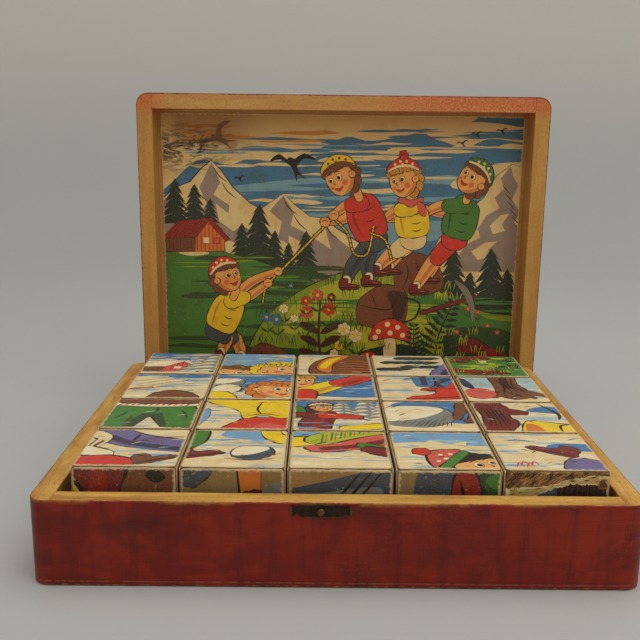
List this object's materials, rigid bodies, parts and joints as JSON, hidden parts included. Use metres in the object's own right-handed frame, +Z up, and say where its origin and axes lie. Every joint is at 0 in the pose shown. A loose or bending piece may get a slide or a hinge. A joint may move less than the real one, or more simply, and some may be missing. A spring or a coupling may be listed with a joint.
{
  "type": "picture cube puzzle",
  "caption": "Picture-cube puzzle: a wooden tray filled with printed cubes that lift out, and a separate wooden lid with a picture sheet inside, stood up behind it.",
  "frame": {"origin": "centre of the tray's underside, on the surface that tray and lid stand on", "axes": "+X along the tray's length, +Y from the catch side to the lid, +Z up"},
  "size_m": [0.2304, 0.2105, 0.1826],
  "materials": {
    "stained_wood": "worn red-brown stain, bare at the rims",
    "catch_metal": "dark patina with worn edges",
    "cube_core": "brown pressed fibre",
    "printed_paper": "printed picture, yellowed, slightly glossy"
  },
  "bodies": {
    "tray": {"tray_bottom_panel": "stained_wood", "tray_front_wall": "stained_wood", "tray_back_wall": "stained_wood", "tray_left_wall": "stained_wood", "tray_right_wall": "stained_wood", "catch_plate": "catch_metal", "catch_stud": "catch_metal"},
    "lid": {"lid_top_panel": "stained_wood", "lid_front_wall": "stained_wood", "lid_back_wall": "stained_wood", "lid_left_wall": "stained_wood", "lid_right_wall": "stained_wood", "lid_picture_sheet": "printed_paper"},
    "cube_r1_c1": {"cube_r1_c1_core": "cube_core", "cube_r1_c1_prints": "printed_paper"},
    "cube_r1_c2": {"cube_r1_c2_core": "cube_core", "cube_r1_c2_prints": "printed_paper"},
    "cube_r1_c3": {"cube_r1_c3_core": "cube_core", "cube_r1_c3_prints": "printed_paper"},
    "cube_r1_c4": {"cube_r1_c4_core": "cube_core", "cube_r1_c4_prints": "printed_paper"},
    "cube_r1_c5": {"cube_r1_c5_core": "cube_core", "cube_r1_c5_prints": "printed_paper"},
    "cube_r2_c1": {"cube_r2_c1_core": "cube_core", "cube_r2_c1_prints": "printed_paper"},
    "cube_r2_c2": {"cube_r2_c2_core": "cube_core", "cube_r2_c2_prints": "printed_paper"},
    "cube_r2_c3": {"cube_r2_c3_core": "cube_core", "cube_r2_c3_prints": "printed_paper"},
    "cube_r2_c4": {"cube_r2_c4_core": "cube_core", "cube_r2_c4_prints": "printed_paper"},
    "cube_r2_c5": {"cube_r2_c5_core": "cube_core", "cube_r2_c5_prints": "printed_paper"},
    "cube_r3_c1": {"cube_r3_c1_core": "cube_core", "cube_r3_c1_prints": "printed_paper"},
    "cube_r3_c2": {"cube_r3_c2_core": "cube_core", "cube_r3_c2_prints": "printed_paper"},
    "cube_r3_c3": {"cube_r3_c3_core": "cube_core", "cube_r3_c3_prints": "printed_paper"},
    "cube_r3_c4": {"cube_r3_c4_core": "cube_core", "cube_r3_c4_prints": "printed_paper"},
    "cube_r3_c5": {"cube_r3_c5_core": "cube_core", "cube_r3_c5_prints": "printed_paper"},
    "cube_r4_c1": {"cube_r4_c1_core": "cube_core", "cube_r4_c1_prints": "printed_paper"},
    "cube_r4_c2": {"cube_r4_c2_core": "cube_core", "cube_r4_c2_prints": "printed_paper"},
    "cube_r4_c3": {"cube_r4_c3_core": "cube_core", "cube_r4_c3_prints": "printed_paper"},
    "cube_r4_c4": {"cube_r4_c4_core": "cube_core", "cube_r4_c4_prints": "printed_paper"},
    "cube_r4_c5": {"cube_r4_c5_core": "cube_core", "cube_r4_c5_prints": "printed_paper"}
  },
  "joints": [
    {"name": "lid_lift", "type": "slide", "parent": "tray", "child": "lid", "axis": [0, 0, 1], "range_m": [0, 0.05]},
    {"name": "cube_r1_c1_lift", "type": "slide", "parent": "tray", "child": "cube_r1_c1", "axis": [0, 0, 1], "range_m": [0, 0.045]},
    {"name": "cube_r1_c2_lift", "type": "slide", "parent": "tray", "child": "cube_r1_c2", "axis": [0, 0, 1], "range_m": [0, 0.045]},
    {"name": "cube_r1_c3_lift", "type": "slide", "parent": "tray", "child": "cube_r1_c3", "axis": [0, 0, 1], "range_m": [0, 0.045]},
    {"name": "cube_r1_c4_lift", "type": "slide", "parent": "tray", "child": "cube_r1_c4", "axis": [0, 0, 1], "range_m": [0, 0.045]},
    {"name": "cube_r1_c5_lift", "type": "slide", "parent": "tray", "child": "cube_r1_c5", "axis": [0, 0, 1], "range_m": [0, 0.045]},
    {"name": "cube_r2_c1_lift", "type": "slide", "parent": "tray", "child": "cube_r2_c1", "axis": [0, 0, 1], "range_m": [0, 0.045]},
    {"name": "cube_r2_c2_lift", "type": "slide", "parent": "tray", "child": "cube_r2_c2", "axis": [0, 0, 1], "range_m": [0, 0.045]},
    {"name": "cube_r2_c3_lift", "type": "slide", "parent": "tray", "child": "cube_r2_c3", "axis": [0, 0, 1], "range_m": [0, 0.045]},
    {"name": "cube_r2_c4_lift", "type": "slide", "parent": "tray", "child": "cube_r2_c4", "axis": [0, 0, 1], "range_m": [0, 0.045]},
    {"name": "cube_r2_c5_lift", "type": "slide", "parent": "tray", "child": "cube_r2_c5", "axis": [0, 0, 1], "range_m": [0, 0.045]},
    {"name": "cube_r3_c1_lift", "type": "slide", "parent": "tray", "child": "cube_r3_c1", "axis": [0, 0, 1], "range_m": [0, 0.045]},
    {"name": "cube_r3_c2_lift", "type": "slide", "parent": "tray", "child": "cube_r3_c2", "axis": [0, 0, 1], "range_m": [0, 0.045]},
    {"name": "cube_r3_c3_lift", "type": "slide", "parent": "tray", "child": "cube_r3_c3", "axis": [0, 0, 1], "range_m": [0, 0.045]},
    {"name": "cube_r3_c4_lift", "type": "slide", "parent": "tray", "child": "cube_r3_c4", "axis": [0, 0, 1], "range_m": [0, 0.045]},
    {"name": "cube_r3_c5_lift", "type": "slide", "parent": "tray", "child": "cube_r3_c5", "axis": [0, 0, 1], "range_m": [0, 0.045]},
    {"name": "cube_r4_c1_lift", "type": "slide", "parent": "tray", "child": "cube_r4_c1", "axis": [0, 0, 1], "range_m": [0, 0.045]},
    {"name": "cube_r4_c2_lift", "type": "slide", "parent": "tray", "child": "cube_r4_c2", "axis": [0, 0, 1], "range_m": [0, 0.045]},
    {"name": "cube_r4_c3_lift", "type": "slide", "parent": "tray", "child": "cube_r4_c3", "axis": [0, 0, 1], "range_m": [0, 0.045]},
    {"name": "cube_r4_c4_lift", "type": "slide", "parent": "tray", "child": "cube_r4_c4", "axis": [0, 0, 1], "range_m": [0, 0.045]},
    {"name": "cube_r4_c5_lift", "type": "slide", "parent": "tray", "child": "cube_r4_c5", "axis": [0, 0, 1], "range_m": [0, 0.045]}
  ]
}
